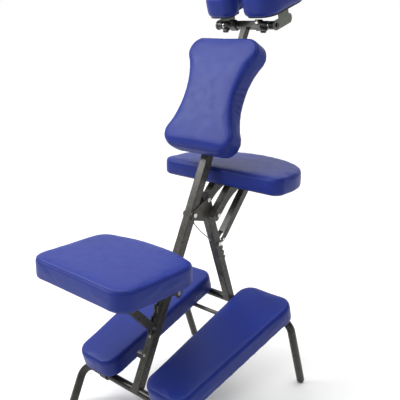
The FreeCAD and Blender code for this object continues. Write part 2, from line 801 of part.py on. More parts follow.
def knee_pads():
    """Two knee cushions on boards that swing on the rear leg's tube, tied by a cross rod."""
    low = number("knee_bottom")
    for name, side in SIDES.items():
        corners = [(side * number("knee_inner"), "knee_back"), (side * number("knee_outer_back"), "knee_back"),
                   (side * number("knee_outer_front"), "knee_front"), (side * number("knee_inner"), "knee_front")]
        thickness = number("knee_cushion + board")
        inset_board, board_gap = number("board_inset"), number("board_gap")
        corner = number("knee_corner")
        foam = slab(f"knee_foam_{name}", corners, low, thickness, None, corner, "pad_crown")
        recess = slab(f"knee_recess_{name}", inset(corners, inset_board - board_gap), low,
                      number("board") + board_gap, None, corner - inset_board + board_gap)
        keep(subtract(foam, recess), f"knee_pad_{name}", KNEES)
        board = slab(f"knee_board_{name}", inset(corners, inset_board), low, "board", None, corner - inset_board)
        keep(board, f"knee_board_{name}", KNEES)
        half = number("strap_width / 2")
        x = side * number("strap_x") - half
        ring = cylinder("strap_radius", "strap_width", (x, 0, 0))
        neck = box("strap_width", 24, low, (x, -12, 0))
        sole = box("strap_width", 64, 3, (x, -32, low - 3))
        bore = cylinder("leg_radius + 0.1", 200, (x - 50, 0, 0))
        keep(subtract(fuse(ring, neck, sole), bore), f"knee_hinge_{name}", KNEES)
    rod_z = low - number("knee_rod_radius") - 0.1
    half = number("knee_rod_half")
    keep(cylinder("knee_rod_radius", 2 * half, (-half, number("knee_rod_y"), rod_z)), "knee_cross_rod", KNEES)


# ---- Chest pad ----

def waisted_outline(gap):
    """Corners and arcs of the waisted outline, moved in by a gap: lobed ends joined by hollow sides."""
    half, waist = number("chest_half") - gap, number("chest_waist_half") - gap
    bottom, top = number("chest_bottom") + gap, number("chest_top") - gap
    lobe = number("chest_lobe") - gap
    middle = number("chest_waist")
    right, arcs_right = [], []
    for end, way in ((bottom, -1), (top, 1)):
        inset_x = half - lobe
        rise = abs(end - middle) - lobe
        across = waist - inset_x
        hollow = (across ** 2 + rise ** 2 - lobe ** 2) / (2 * (lobe - across))
        share = lobe / (lobe + hollow)
        touch_x = inset_x + (waist + hollow - inset_x) * share
        touch_z = middle + way * rise * (1 - share)
        right.append(((inset_x, end), (touch_x, touch_z)))
        arcs_right.append(hollow)
    (low, low_touch), (high, high_touch) = right
    corners = [low, low_touch, (waist, middle), high_touch, high]
    corners += [(-x, z) for x, z in reversed(corners)]
    bend = [lobe, -arcs_right[0], -arcs_right[1], lobe]
    arcs = dict(enumerate(bend))
    arcs.update({5 + side: radius for side, radius in enumerate(reversed(bend))})
    return corners, arcs


def chest_pad():
    """A waisted cushion and board on a sleeve that slides on the main post."""
    cushion = new_body("chest_foam")
    corners, arcs = waisted_outline(0)
    pad(cushion, outline(cushion, "XZ_Plane", corners, arcs, "chest_back - chest_board"),
        "chest_cushion + chest_board")
    fillet(cushion, "pad_crown", at_level("y", -number("chest_back + chest_cushion")))
    recess = new_body("chest_recess")
    corners, arcs = waisted_outline(number("board_inset - board_gap"))
    pad(recess, outline(recess, "XZ_Plane", corners, arcs, "chest_back - chest_board"), "chest_board + board_gap")
    keep(subtract(cushion, recess), "chest_pad", POST)
    board = new_body("chest_board")
    corners, arcs = waisted_outline(number("board_inset"))
    pad(board, outline(board, "XZ_Plane", corners, arcs, "chest_back - chest_board"), "chest_board")
    keep(board, "chest_board", POST)
    size, low, tall = number("carriage_size"), number("carriage_bottom"), number("carriage_height")
    half = size / 2
    wall = box(size, size, tall, (-half, -half, low))
    back = number("chest_back - chest_board")
    plate = box(90, back - half, tall, (-45, -back, low))
    boss = cylinder(11, 6, (0, half, low + tall / 2), Y_AXIS)
    room = number("post_size / 2") + 0.3
    bore = box(2 * room, 2 * room, 2 * tall, (-room, -room, low - tall / 2))
    stud_way = cylinder("bore_radius + 0.3", 40, (0, 0, low + tall / 2), Y_AXIS)
    keep(subtract(fuse(wall, plate, boss), bore, stud_way), "chest_carriage", POST)


# ---- Mast and face cradle ----

def mast():
    """The inner post that slides in the main post, with the crossbar that the cradle tilts on."""
    top = "cradle_height - mast_size / 2"
    square_post("mast", POST, "mast_bottom", top, "mast_size", "mast_wall", 1.5)
    half = number("mast_size / 2")
    reach = 38.0
    bar = box(2 * reach, "mast_size", "mast_size", (-reach, -half, number("cradle_height") - half))
    axle = cylinder("axle_radius", "2 * axle_half", ("-axle_half", 0, "cradle_height"))
    ends = [cylinder("axle_radius - 2", 5, ("axle_half", 0, "cradle_height")),
            cylinder("axle_radius - 2", 5, ("-axle_half - 5", 0, "cradle_height"))]
    keep(fuse(bar, axle, *ends), "cradle_crossbar", POST)
    bright, dark = [], []
    for name, side in SIDES.items():
        bright.append(clamp_block(name, side))
        cam_lever(name, side)
        bright.append(axle_ring(side, 89.0, 94.5, 11.5))
        dark.append(axle_ring(side, 96.0, 115.5, 13.5))
    keep(group(bright), "cradle_hardware", POST)
    keep(group(dark), "cradle_spacers", POST)


def span(side, near, far):
    """The low end on X of a stretch from near to far from the middle, on one side."""
    return near if side > 0 else -far


def clamp_block(name, side):
    """The block that grips the cradle's axle beside the crossbar; gives back the head of its bolt."""
    near, far = 38.4, 66.0
    z = number("cradle_height")
    low = span(side, near, far)
    block = box(far - near, 26, 28, (low, -13, z - 14))
    bolt = hex_head(6, 3.5, (low + (far - near) / 2, -13, z + 2), Y_AXIS * -1)
    bore = cylinder("axle_radius + 0.05", 60, (low - 10, 0, z))
    keep(subtract(block, bore), f"cradle_clamp_{name}", POST)
    return bolt


def cam_lever(name, side):
    """The lever that locks the tilt: a cam barrel round the axle with a short thumb tab behind it."""
    near, far = 67.0, 88.0
    low = span(side, near, far)
    reach, thick = 20.0, 9.0
    barrel = cylinder(14, far - near, (low, 0, 0))
    handle = box(far - near - 6, reach, thick, (low + 3, -reach, -13))
    tip = cylinder(6.5, far - near - 6, (low + 3, -reach, thick / 2 - 13))
    bore = cylinder("axle_radius + 0.08", 60, (low - 10, 0, 0))
    keep(subtract(fuse(barrel, handle, tip), bore), f"cam_lever_{name}", LEVER)


def axle_ring(side, near, far, radius):
    """A ring on the cradle's axle, from near to far from the middle."""
    z = number("cradle_height")
    low = span(side, near, far)
    bore = cylinder("axle_radius + 0.05", 60, (low - 10, 0, z))
    return subtract(cylinder(radius, far - near, (low, 0, z)), bore)


def face_cradle():
    """Two side arms that tilt on the crossbar, the horseshoe board on them and its cushion."""
    length = number("cradle_arm_length")
    radius = "cradle_arm_radius"
    low = number("cradle_board_low")
    for name, side in SIDES.items():
        x = side * number("cradle_arm_x") - 2
        flat = box(4, length, "2 * cradle_arm_radius", (x, 0, -number(radius)))
        tab = box(4, length - 20, low, (x, 20, 0))
        near, far = cylinder(radius, 4, (x, 0, 0)), cylinder(radius, 4, (x, length, 0))
        bore = cylinder("axle_radius + 0.05", 30, (x - 10, 0, 0))
        keep(subtract(fuse(flat, tab, near, far), bore), f"cradle_arm_{name}", CRADLE)
    board_inset, board_gap = number("board_inset"), number("board_gap")
    foam = horseshoe("face_foam", low, "face_cushion", 0, 18)
    recess = horseshoe("face_recess", low, number("cradle_board") + board_gap, board_inset - board_gap)
    keep(subtract(foam, recess), "face_cushion", CRADLE)
    keep(horseshoe("cradle_board", low, "cradle_board", board_inset), "cradle_board", CRADLE)


def horseshoe(label, bottom, thickness, gap, crown=None):
    """A horseshoe open towards the sitter, with round ends and its rim moved in by a gap."""
    half, back, front = number("cradle_half") - gap, number("cradle_back") + gap, number("cradle_front") - gap
    hole, mouth = number("face_hole") + gap, number("face_gap") + gap
    throat, widest, deep = back + 52 - gap, number("face_hole_back"), number("face_hole_front") + gap
    right = [(mouth, back), (half, back), (half, front)]
    left = [(-x, y) for x, y in reversed(right)]
    opening = [(-mouth, throat), (-hole, widest), (-hole, deep), (hole, deep), (hole, widest), (mouth, throat)]
    body = new_body(label)
    pad(body, outline(body, "XY_Plane", right + left + opening, None, bottom), thickness)
    fillet(body, 95 - gap, along("z", [right[2], left[0]]))
    fillet(body, 55 - gap, along("z", [right[1], left[1]]))
    fillet(body, 40 - gap, along("z", [right[0], left[2]]))
    fillet(body, 35, along("z", opening[2:4]))
    fillet(body, 18, along("z", [*opening[:2], *opening[4:]]))
    if crown:
        fillet(body, crown, at_level("z", top_of(body)))
    return body


# ---- Knobs ----

def knob(label, start, direction, stud):
    """A round lobed plastic knob on its threaded stud; start is the stud's free end in the post's frame."""
    grip = start + direction * stud
    turned = cylinder("knob_radius", "knob_length", grip, direction)
    flutes = []
    for step in range(6):
        angle = math.radians(60 * step)
        side = direction.cross(FreeCAD.Vector(0, 0, 1)) * math.cos(angle) + FreeCAD.Vector(0, 0, math.sin(angle))
        flutes.append(cylinder(5, 2 * number("knob_length"), grip + side * (number("knob_radius") + 2)
                               - direction * 5, direction))
    body = subtract(turned, *flutes)
    shank = cylinder("bolt_radius", stud, start, direction)
    keep(fuse(body, shank), label, POST)


def knobs():
    """The mast's, the chest pad's and the leg's clamp knobs."""
    mast_face = number("mast_size / 2") + 0.3
    reach = number("post_size / 2") + 1.5 - mast_face
    knob("mast_knob", FreeCAD.Vector(0, mast_face, MAST_KNOB_HEIGHT), Y_AXIS, reach)
    chest_z = number("carriage_bottom + carriage_height / 2")
    start = number("post_size / 2") + 0.3
    knob("chest_knob", FreeCAD.Vector(0, start, chest_z), Y_AXIS, number("carriage_size / 2") + 7 - start)
    stud = 10.0
    face = number("post_size / 2") + 1
    side_start = FreeCAD.Vector(-(face - stud), 0, SIDE_KNOB_HEIGHT)
    small_knob(side_start, stud)


def small_knob(start, stud):
    """The plain round knob low on the left of the main post."""
    grip = start - X_AXIS * stud
    keep(fuse(cylinder(13, 20, grip, X_AXIS * -1), cylinder("bolt_radius", stud, start, X_AXIS * -1)),
         "side_knob", POST)


# ---- Safety cable ----

def safety_cable():
    """A thin cable from the main post's front face to the front post's rear face."""
    out = number("post_size / 2 + cable_lug + cable_clearance")
    start, finish = world(POST, out, CABLE_TOP), world(FRONT, -out, CABLE_BOTTOM)
    sag = FreeCAD.Vector(0, 0, -6)
    route = [start, start * (2 / 3) + finish * (1 / 3) + sag, start * (1 / 3) + finish * (2 / 3) + sag, finish]
    edges = []
    here = route[0]
    for before, corner, after in zip(route, route[1:], route[2:]):
        into, out = (corner - before).normalize(), (after - corner).normalize()
        turn = into.getAngle(out)
        trim = 0.45 * min((corner - before).Length, (after - corner).Length)
        radius = trim / math.tan(turn / 2)
        print(f"safety_cable bend radius {radius:.0f} mm")
        first, second = corner - into * trim, corner + out * trim
        centre_way = (out - into).normalize()
        middle = corner + centre_way * (radius / math.cos(turn / 2) - radius)
        edges += [Part.LineSegment(here, first).toShape(), Part.Arc(first, middle, second).toShape()]
        here = second
    edges.append(Part.LineSegment(here, route[-1]).toShape())
    path = Part.Wire(edges)
    ring = Part.Wire([Part.Circle(start, route[1] - start, number("cable_radius")).toShape()])
    tube = path.makePipeShell([ring], True, True)
    expected = math.pi * number("cable_radius") ** 2 * path.Length
    print(f"safety_cable length {path.Length:.1f} mm, volume ratio {tube.Volume / expected:.4f}")
    item = doc.addObject("Part::Feature", "safety_cable")
    item.Shape = tube
    keep(item, "safety_cable", FreeCAD.Placement())


# ---- Build, check and write ----

def check():
    """Stop if any object failed, or a sub-part has no valid solid."""
    for item in doc.Objects:
        if "Invalid" in item.State or "Error" in item.State:
            raise RuntimeError(f"{item.Label} failed: {item.State}")
    for item in nodes:
        if item.Shape.isNull() or not item.Shape.isValid() or not item.Shape.Solids:
            raise RuntimeError(f"{item.Label} has no valid solid")


def write():
    """Write each sub-part to its own file, and report the whole chair's box."""
    os.makedirs("parts", exist_ok=True)
    total = FreeCAD.BoundBox()
    for item in nodes:
        item.Shape.exportStep(f"parts/{item.Label}.step")
        total.add(item.Shape.BoundBox)
    print(f"{len(nodes)} sub-parts, box {total}")


main_frame()
racks()
front_frame()
seat()
armrest()
knee_pads()
chest_pad()
mast()
face_cradle()
knobs()
safety_cable()
doc.recompute()
check()
write()
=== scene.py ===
import json
import math
import random

import bmesh
import bpy
import numpy as np
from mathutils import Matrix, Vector
from mathutils.bvhtree import BVHTree
from mathutils.kdtree import KDTree


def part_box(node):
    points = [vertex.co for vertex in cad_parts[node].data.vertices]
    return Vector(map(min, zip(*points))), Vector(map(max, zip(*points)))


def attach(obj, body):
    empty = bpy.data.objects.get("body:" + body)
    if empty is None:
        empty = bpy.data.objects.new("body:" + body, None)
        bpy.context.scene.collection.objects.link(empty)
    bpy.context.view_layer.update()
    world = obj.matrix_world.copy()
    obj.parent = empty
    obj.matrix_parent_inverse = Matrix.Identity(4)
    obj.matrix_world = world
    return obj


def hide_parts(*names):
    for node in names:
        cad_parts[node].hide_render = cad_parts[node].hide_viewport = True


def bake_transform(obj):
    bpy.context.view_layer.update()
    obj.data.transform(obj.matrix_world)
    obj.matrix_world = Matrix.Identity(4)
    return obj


# Looks for a kneeling massage chair. Metres; +Y is the way the sitter faces, +X is the sitter's right.

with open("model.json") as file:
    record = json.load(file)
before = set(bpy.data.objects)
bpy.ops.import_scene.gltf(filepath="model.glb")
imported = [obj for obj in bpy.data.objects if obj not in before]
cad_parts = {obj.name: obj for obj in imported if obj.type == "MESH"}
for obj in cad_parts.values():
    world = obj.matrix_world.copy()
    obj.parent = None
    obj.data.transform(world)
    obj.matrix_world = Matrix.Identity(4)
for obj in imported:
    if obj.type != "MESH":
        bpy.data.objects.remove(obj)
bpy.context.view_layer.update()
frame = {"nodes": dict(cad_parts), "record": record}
NODES = frame["nodes"]
BODY_OF = {node: body for body, nodes in frame["record"]["behaviour"]["bodies"].items() for node in nodes}
SIDES = {"left": -1, "right": 1}
random.seed(7)

MM = 0.001

# The two posts: which way they lean, where they stand on their legs, and their tubes' sizes
JOINTS = {joint["name"]: joint for joint in frame["record"]["behaviour"]["joints"]}
POST_UP = Vector(JOINTS["mast_slide"]["axis"]).normalized()
POST_FOOT = Vector(JOINTS["knee_frame_fold"]["pos_m"])
POST_AHEAD = Vector((1, 0, 0)).cross(-POST_UP)
FRONT_LEAN = math.radians(19.36)
FRONT_UP = Vector((0, -math.sin(FRONT_LEAN), math.cos(FRONT_LEAN)))
FRONT_AHEAD = Vector((0, math.cos(FRONT_LEAN), math.sin(FRONT_LEAN)))
FRONT_FOOT = Vector((0, POST_FOOT.y + 474 * MM, 292.6 * MM))
POST_HALF = 15 * MM
LEG_RADIUS = 14 * MM
WELD_RADIUS = 1.9 * MM

# The chest pad's waist along the post, and the creases that gather there: each one's place from the waist and
# its rise across the pad, in millimetres, and its strength
CHEST_WAIST = 978 * MM
CREASES = ((-46, 14, 0.6), (-26, 10, 1.0), (-7, 4, 0.9), (13, -6, 1.0), (33, -12, 0.5))
CREASE_WIDTH = 4.6
CREASE_DEPTH = 4.5 * MM

# The safety cable: its ends' heights along the two posts, and how its ends sit in their eyes
CABLE_TOP = 572 * MM
CABLE_BOTTOM = 288 * MM
CABLE_RADIUS = 1.55 * MM
CABLE_SAG = 6 * MM
CABLE_LUG = 5 * MM
CABLE_IN_LUG = 2 * MM
SLEEVE_RADIUS = 2.6 * MM


# ---- Nodes and materials ----

def new_material(name):
    """A node material, with its tree and its shader."""
    material = bpy.data.materials.new(name)
    material.use_nodes = True
    tree = material.node_tree
    return material, tree, tree.nodes["Principled BSDF"]


def coordinates(tree):
    """Object coordinates, in metres."""
    return tree.nodes.new("ShaderNodeTexCoord").outputs["Object"]


def noise_field(tree, vector, scale, detail=3.0, roughness=0.55):
    """A noise value from 0 to 1."""
    node = tree.nodes.new("ShaderNodeTexNoise")
    node.inputs["Scale"].default_value = scale
    node.inputs["Detail"].default_value = detail
    node.inputs["Roughness"].default_value = roughness
    tree.links.new(vector, node.inputs["Vector"])
    return node.outputs["Fac"]


def ramp(tree, value, stops):
    """A colour ramp through the stops, each a place and a grey or a colour."""
    node = tree.nodes.new("ShaderNodeValToRGB")
    elements = node.color_ramp.elements
    while len(elements) < len(stops):
        elements.new(0.5)
    for element, (place, colour) in zip(elements, stops):
        element.position = place
        element.color = (colour, colour, colour, 1) if isinstance(colour, float) else (*colour, 1)
    tree.links.new(value, node.inputs["Fac"])
    return node.outputs["Color"]


def mix_colour(tree, factor, low, high):
    """A mix of two colours, each a socket or a tuple."""
    node = tree.nodes.new("ShaderNodeMix")
    node.data_type = "RGBA"
    tree.links.new(factor, node.inputs["Factor"])
    for socket, colour in (("A", low), ("B", high)):
        target = [s for s in node.inputs if s.name == socket and s.type == "RGBA"][0]
        if isinstance(colour, tuple):
            target.default_value = (*colour, 1)
        else:
            tree.links.new(colour, target)
    return [s for s in node.outputs if s.type == "RGBA"][0]


def arithmetic(tree, operation, first, second):
    """One Math node of two values, each a socket or a number."""
    node = tree.nodes.new("ShaderNodeMath")
    node.operation = operation
    for index, value in enumerate((first, second)):
        if isinstance(value, (int, float)):
            node.inputs[index].default_value = value
        else:
            tree.links.new(value, node.inputs[index])
    return node.outputs[0]


def bump(tree, shader, height, distance, strength=1.0):
    """Drive the shader's normal from a height in metres at the given distance."""
    node = tree.nodes.new("ShaderNodeBump")
    node.inputs["Distance"].default_value = distance
    node.inputs["Strength"].default_value = strength
    tree.links.new(height, node.inputs["Height"])
    tree.links.new(node.outputs["Normal"], shader.inputs["Normal"])


def pebble(tree, vector, scale):
    """Leather grain: raised cells parted by fine creases, 0 in a crease and 1 on a cell."""
    node = tree.nodes.new("ShaderNodeTexVoronoi")
    node.feature = "DISTANCE_TO_EDGE"
    node.inputs["Scale"].default_value = scale
    wobble = tree.nodes.new("ShaderNodeTexNoise")
    wobble.inputs["Scale"].default_value = scale * 0.6
    shifted = tree.nodes.new("ShaderNodeVectorMath")
    shifted.operation = "MULTIPLY_ADD"
    shifted.inputs[1].default_value = (0.6 / scale,) * 3
    tree.links.new(vector, wobble.inputs["Vector"])
    tree.links.new(wobble.outputs["Color"], shifted.inputs[0])
    tree.links.new(vector, shifted.inputs[2])
    tree.links.new(shifted.outputs[0], node.inputs["Vector"])
    return ramp(tree, node.outputs["Distance"], [(0.0, 0.0), (0.09, 0.75), (0.3, 1.0)])


def vinyl():
    """Blue upholstery vinyl: a fine leather grain with painted shade in its creases, a satin skin and slight
    fading where it is rubbed.
    """
    material, tree, shader = new_material("blue_vinyl")
    vector = coordinates(tree)
    cloud = ramp(tree, noise_field(tree, vector, 5.0, 4.0), [(0.3, 0.0), (0.7, 1.0)])
    base = mix_colour(tree, cloud, (0.010, 0.025, 0.200), (0.014, 0.033, 0.240))
    cells = pebble(tree, vector, 640.0)
    # Painted shade: the grain's creases get a darker blue than the raised cells, standing in for the shade in
    # the grain's valleys
    grain_crease_shaded = mix_colour(tree, cells, (0.005, 0.011, 0.11), base)
    tree.links.new(grain_crease_shaded, shader.inputs["Base Color"])
    rough = ramp(tree, noise_field(tree, vector, 34.0, 3.0), [(0.2, 0.36), (0.8, 0.46)])
    tree.links.new(rough, shader.inputs["Roughness"])
    shader.inputs["Specular IOR Level"].default_value = 0.2
    stretch = noise_field(tree, vector, 90.0, 2.0)
    height = arithmetic(tree, "ADD", cells, arithmetic(tree, "MULTIPLY", stretch, 0.8))
    bump(tree, shader, height, 0.00012, 0.5)
    return material


def painted_steel(name, dark, light, roughness=(0.24, 0.36)):
    """Powder-coated steel: a faint orange-peel skin, dust in the colour and brighter rubbed edges."""
    material, tree, shader = new_material(name)
    vector = coordinates(tree)
    cloud = ramp(tree, noise_field(tree, vector, 11.0, 5.0), [(0.3, 0.0), (0.72, 1.0)])
    base = mix_colour(tree, cloud, dark, light)
    speck = ramp(tree, noise_field(tree, vector, 900.0, 1.0), [(0.6, 0.0), (0.78, 1.0)])
    flecked = mix_colour(tree, arithmetic(tree, "MULTIPLY", speck, 0.25), base, tuple(2.0 * c for c in light))
    geometry = tree.nodes.new("ShaderNodeNewGeometry")
    edge = ramp(tree, geometry.outputs["Pointiness"], [(0.52, 0.0), (0.62, 1.0)])
    worn = arithmetic(tree, "MULTIPLY", edge, noise_field(tree, vector, 60.0, 3.0))
    colour = mix_colour(tree, arithmetic(tree, "MULTIPLY", worn, 0.35), flecked, (0.26, 0.25, 0.22))
    tree.links.new(colour, shader.inputs["Base Color"])
    rough = ramp(tree, noise_field(tree, vector, 45.0, 3.0), [(0.25, roughness[0]), (0.75, roughness[1])])
    tree.links.new(rough, shader.inputs["Roughness"])
    shader.inputs["Specular IOR Level"].default_value = 0.30
    bump(tree, shader, noise_field(tree, vector, 380.0, 2.0), 0.00006, 0.6)
    return material


def moulded_plastic():
    """Black moulded plastic with a fine spark-eroded texture."""
    material, tree, shader = new_material("black_plastic")
    vector = coordinates(tree)
    fine = noise_field(tree, vector, 1500.0, 2.0)
    colour = mix_colour(tree, noise_field(tree, vector, 20.0, 3.0), (0.008, 0.008, 0.009), (0.018, 0.018, 0.02))
    tree.links.new(colour, shader.inputs["Base Color"])
    rough = ramp(tree, noise_field(tree, vector, 70.0, 3.0), [(0.2, 0.34), (0.8, 0.48)])
    tree.links.new(rough, shader.inputs["Roughness"])
    bump(tree, shader, fine, 0.00005, 0.5)
    return material


def rubber():
    """Dark grey rubber, dusty and dull."""
    material, tree, shader = new_material("foot_rubber")
    vector = coordinates(tree)
    dust = ramp(tree, noise_field(tree, vector, 40.0, 5.0), [(0.35, 0.0), (0.75, 1.0)])
    colour = mix_colour(tree, dust, (0.012, 0.012, 0.011), (0.032, 0.031, 0.029))
    tree.links.new(colour, shader.inputs["Base Color"])
    rough = ramp(tree, noise_field(tree, vector, 90.0, 3.0), [(0.2, 0.62), (0.8, 0.8)])
    tree.links.new(rough, shader.inputs["Roughness"])
    bump(tree, shader, noise_field(tree, vector, 700.0, 2.0), 0.0001, 0.5)
    return material


def bare_metal(name, dull, bright, metallic):
    """Plated steel or wire, with fine turning marks and a faint bloom."""
    material, tree, shader = new_material(name)
    vector = coordinates(tree)
    bloom = ramp(tree, noise_field(tree, vector, 160.0, 4.0), [(0.3, 0.0), (0.7, 1.0)])
    tree.links.new(mix_colour(tree, bloom, dull, bright), shader.inputs["Base Color"])
    shader.inputs["Metallic"].default_value = metallic
    rough = ramp(tree, noise_field(tree, vector, 260.0, 3.0), [(0.2, 0.22), (0.8, 0.38)])
    tree.links.new(rough, shader.inputs["Roughness"])
    bump(tree, shader, noise_field(tree, vector, 1200.0, 2.0), 0.00004, 0.6)
    return material


def backing_board():
    """The pads' backing: thin black lining cloth over plywood, with its weave."""
    material, tree, shader = new_material("black_lining")
    vector = coordinates(tree)
    weave = tree.nodes.new("ShaderNodeTexWave")
    weave.inputs["Scale"].default_value = 260.0
    weave.inputs["Distortion"].default_value = 1.2
    tree.links.new(vector, weave.inputs["Vector"])
    fibres = noise_field(tree, vector, 420.0, 5.0, 0.7)
    cloth = arithmetic(tree, "ADD", arithmetic(tree, "MULTIPLY", weave.outputs["Fac"], 0.4), fibres)
    tree.links.new(mix_colour(tree, fibres, (0.010, 0.010, 0.011), (0.030, 0.030, 0.032)),
                   shader.inputs["Base Color"])
    rough = ramp(tree, fibres, [(0.2, 0.78), (0.8, 0.95)])
    tree.links.new(rough, shader.inputs["Roughness"])
    bump(tree, shader, cloth, 0.0002, 0.6)
    return material


MATERIALS = {
    "vinyl": vinyl(),
    "board": backing_board(),
    "frame_paint": painted_steel("bronze_powder_coat", (0.010, 0.0095, 0.008), (0.019, 0.018, 0.015)),
    "cradle_paint": painted_steel("grey_powder_coat", (0.085, 0.097, 0.082), (0.115, 0.128, 0.108)),
    "rubber": rubber(),
    "black_plastic": moulded_plastic(),
    "zinc": bare_metal("zinc_plate", (0.46, 0.45, 0.42), (0.63, 0.62, 0.58), 1.0),
    "steel_cable": bare_metal("sheathed_cable", (0.045, 0.044, 0.042), (0.085, 0.083, 0.080), 0.2),
}


EDGE_SOFTNESS = {"frame_paint": 0.7 * MM, "cradle_paint": 0.6 * MM, "black_plastic": 1.0 * MM, "zinc": 0.4 * MM}


def finish_cad_nodes():
    """Give every CAD node that shows its material, and soften the corners of its pressed and moulded edges."""
    for part in frame["record"]["subparts"]:
        item = NODES[part["node"]]
        item.data.materials.clear()
        item.data.materials.append(MATERIALS[part["material_slot"]])
        width = EDGE_SOFTNESS.get(part["material_slot"])
        if width:
            bevel = item.modifiers.new("soft_edges", "BEVEL")
            bevel.width = width
            bevel.segments = 2
            bevel.limit_method = "ANGLE"
            bevel.angle_limit = math.radians(40)


# ---- Mesh tools ----

def new_object(name, mesh, material):
    """A linked object with a material."""
    item = bpy.data.objects.new(name, mesh)
    bpy.context.scene.collection.objects.link(item)
    if material:
        mesh.materials.clear()
        mesh.materials.append(MATERIALS[material])
    return item


def from_bmesh(name, bm, material, smooth=True):
    """An object from a bmesh, with its normals put right."""
    bmesh.ops.recalc_face_normals(bm, faces=bm.faces)
    mesh = bpy.data.meshes.new(name)
    bm.to_mesh(mesh)
    bm.free()
    if smooth:
        mesh.shade_smooth()
    return new_object(name, mesh, material)


def apply_modifiers(item):
    """Bake the object's modifiers into its mesh."""
    graph = bpy.context.evaluated_depsgraph_get()
    graph.update()
    mesh = bpy.data.meshes.new_from_object(item.evaluated_get(graph))
    item.modifiers.clear()
    item.data = mesh


def remesh(item, voxel):
    """An even skin of quads over the object's shape."""
    modifier = item.modifiers.new("remesh", "REMESH")
    modifier.mode = "VOXEL"
    modifier.voxel_size = voxel
    apply_modifiers(item)


def smooth(item, factor, times):
    """Even out the mesh."""
    modifier = item.modifiers.new("smooth", "SMOOTH")
    modifier.factor = factor
    modifier.iterations = times
    apply_modifiers(item)


def subdivide(item):
    """One level of subdivision."""
    modifier = item.modifiers.new("subdivide", "SUBSURF")
    modifier.levels = 1
    modifier.render_levels = 1
    apply_modifiers(item)


def tube(name, points, radius, material, closed=False, sides=10, swell=None):
    """A round tube through points, thicker or thinner at each by its swell."""
    curve = bpy.data.curves.new(name, "CURVE")
    curve.dimensions = "3D"
    curve.bevel_depth = radius
    curve.bevel_resolution = max(1, sides // 4)
    curve.use_fill_caps = True
    spline = curve.splines.new("POLY")
    spline.points.add(len(points) - 1)
    for index, (point, place) in enumerate(zip(spline.points, points)):
        point.co = (*place, 1)
        point.radius = swell[index] if swell else 1.0
    spline.use_cyclic_u = closed
    item = new_object(name, curve, material)
    graph = bpy.context.evaluated_depsgraph_get()
    mesh = bpy.data.meshes.new_from_object(item.evaluated_get(graph))
    mesh.name = name
    bpy.data.objects.remove(item)
    mesh.shade_smooth()
    return new_object(name, mesh, material)


# ---- Cushions ----

# The remeshed skin's spacing, how far the foam starts inside its CAD solid, and its gap from the board
VOXEL = 5 * MM
SKIN = 2 * MM
LIFT = 1 * MM
OUTLINE_STEP = 6 * MM
THREAD_RADIUS = 0.9 * MM
THREAD_SINK = 0.5 * MM


def positions(mesh):
    """A mesh's points as an array, one row each."""
    flat = np.empty(len(mesh.vertices) * 3)
    mesh.vertices.foreach_get("co", flat)
    return flat.reshape(-1, 3)


def normals(mesh):
    """A mesh's point normals as an array, one row each."""
    flat = np.empty(len(mesh.vertices) * 3)
    mesh.vertices.foreach_get("normal", flat)
    return flat.reshape(-1, 3)


def move_to(mesh, points):
    """Set a mesh's points from an array."""
    mesh.vertices.foreach_set("co", points.reshape(-1))
    mesh.update()


def pad_axes(node, board):
    """A pad's own axes: which way it faces, away from its board, and its middle."""
    totals = {}
    for face in NODES[node].data.polygons:
        key = tuple(round(c, 2) for c in face.normal)
        totals[key] = totals.get(key, 0) + face.area
    middle = (Vector(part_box(node)[0]) + Vector(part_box(node)[1])) / 2
    board_middle = (Vector(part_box(board)[0]) + Vector(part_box(board)[1])) / 2
    flat = [Vector(key) for key in sorted(totals, key=totals.get, reverse=True)[:2]]
    facing = max(flat, key=(middle - board_middle).dot).normalized()
    return facing, middle


def slice_loop(mesh, place, normal):
    """The closed outline where a plane cuts a mesh, as points in order."""
    bm = bmesh.new()
    bm.from_mesh(mesh)
    bmesh.ops.remove_doubles(bm, verts=bm.verts, dist=1e-6)
    cut = bmesh.ops.bisect_plane(bm, geom=bm.verts[:] + bm.edges[:] + bm.faces[:], plane_co=place,
                                 plane_no=normal, clear_inner=True, clear_outer=True)
    links = {}
    for edge in [e for e in cut["geom_cut"] if isinstance(e, bmesh.types.BMEdge)]:
        for here, there in (edge.verts, reversed(edge.verts)):
            links.setdefault(here, []).append(there)
    start = next(iter(links))
    loop, before, here = [start], None, start
    while True:
        onward = [v for v in links[here] if v is not before]
        before, here = here, onward[0]
        if here is start:
            break
        loop.append(here)
    points = [v.co.copy() for v in loop]
    bm.free()
    return points


def resample(points, spacing):
    """A closed loop's points at even spacing."""
    loop = points + [points[0]]
    lengths = [0.0]
    for here, there in zip(loop, loop[1:]):
        lengths.append(lengths[-1] + (there - here).length)
    count = max(12, round(lengths[-1] / spacing))
    even, segment = [], 0
    for step in range(count):
        target = lengths[-1] * step / count
        while lengths[segment + 1] < target:
            segment += 1
        share = (target - lengths[segment]) / max(1e-9, lengths[segment + 1] - lengths[segment])
        even.append(loop[segment].lerp(loop[segment + 1], share))
    return even


def loop_sides(points, facing):
    """The outward direction at each point of a flat closed loop."""
    count = len(points)
    area = Vector()
    for i in range(count):
        area += (points[i] - points[0]).cross(points[(i + 1) % count] - points[0])
    turn = 1 if area.dot(facing) > 0 else -1
    return [((points[(i + 1) % count] - points[i - 1]).cross(facing) * turn).normalized() for i in range(count)]


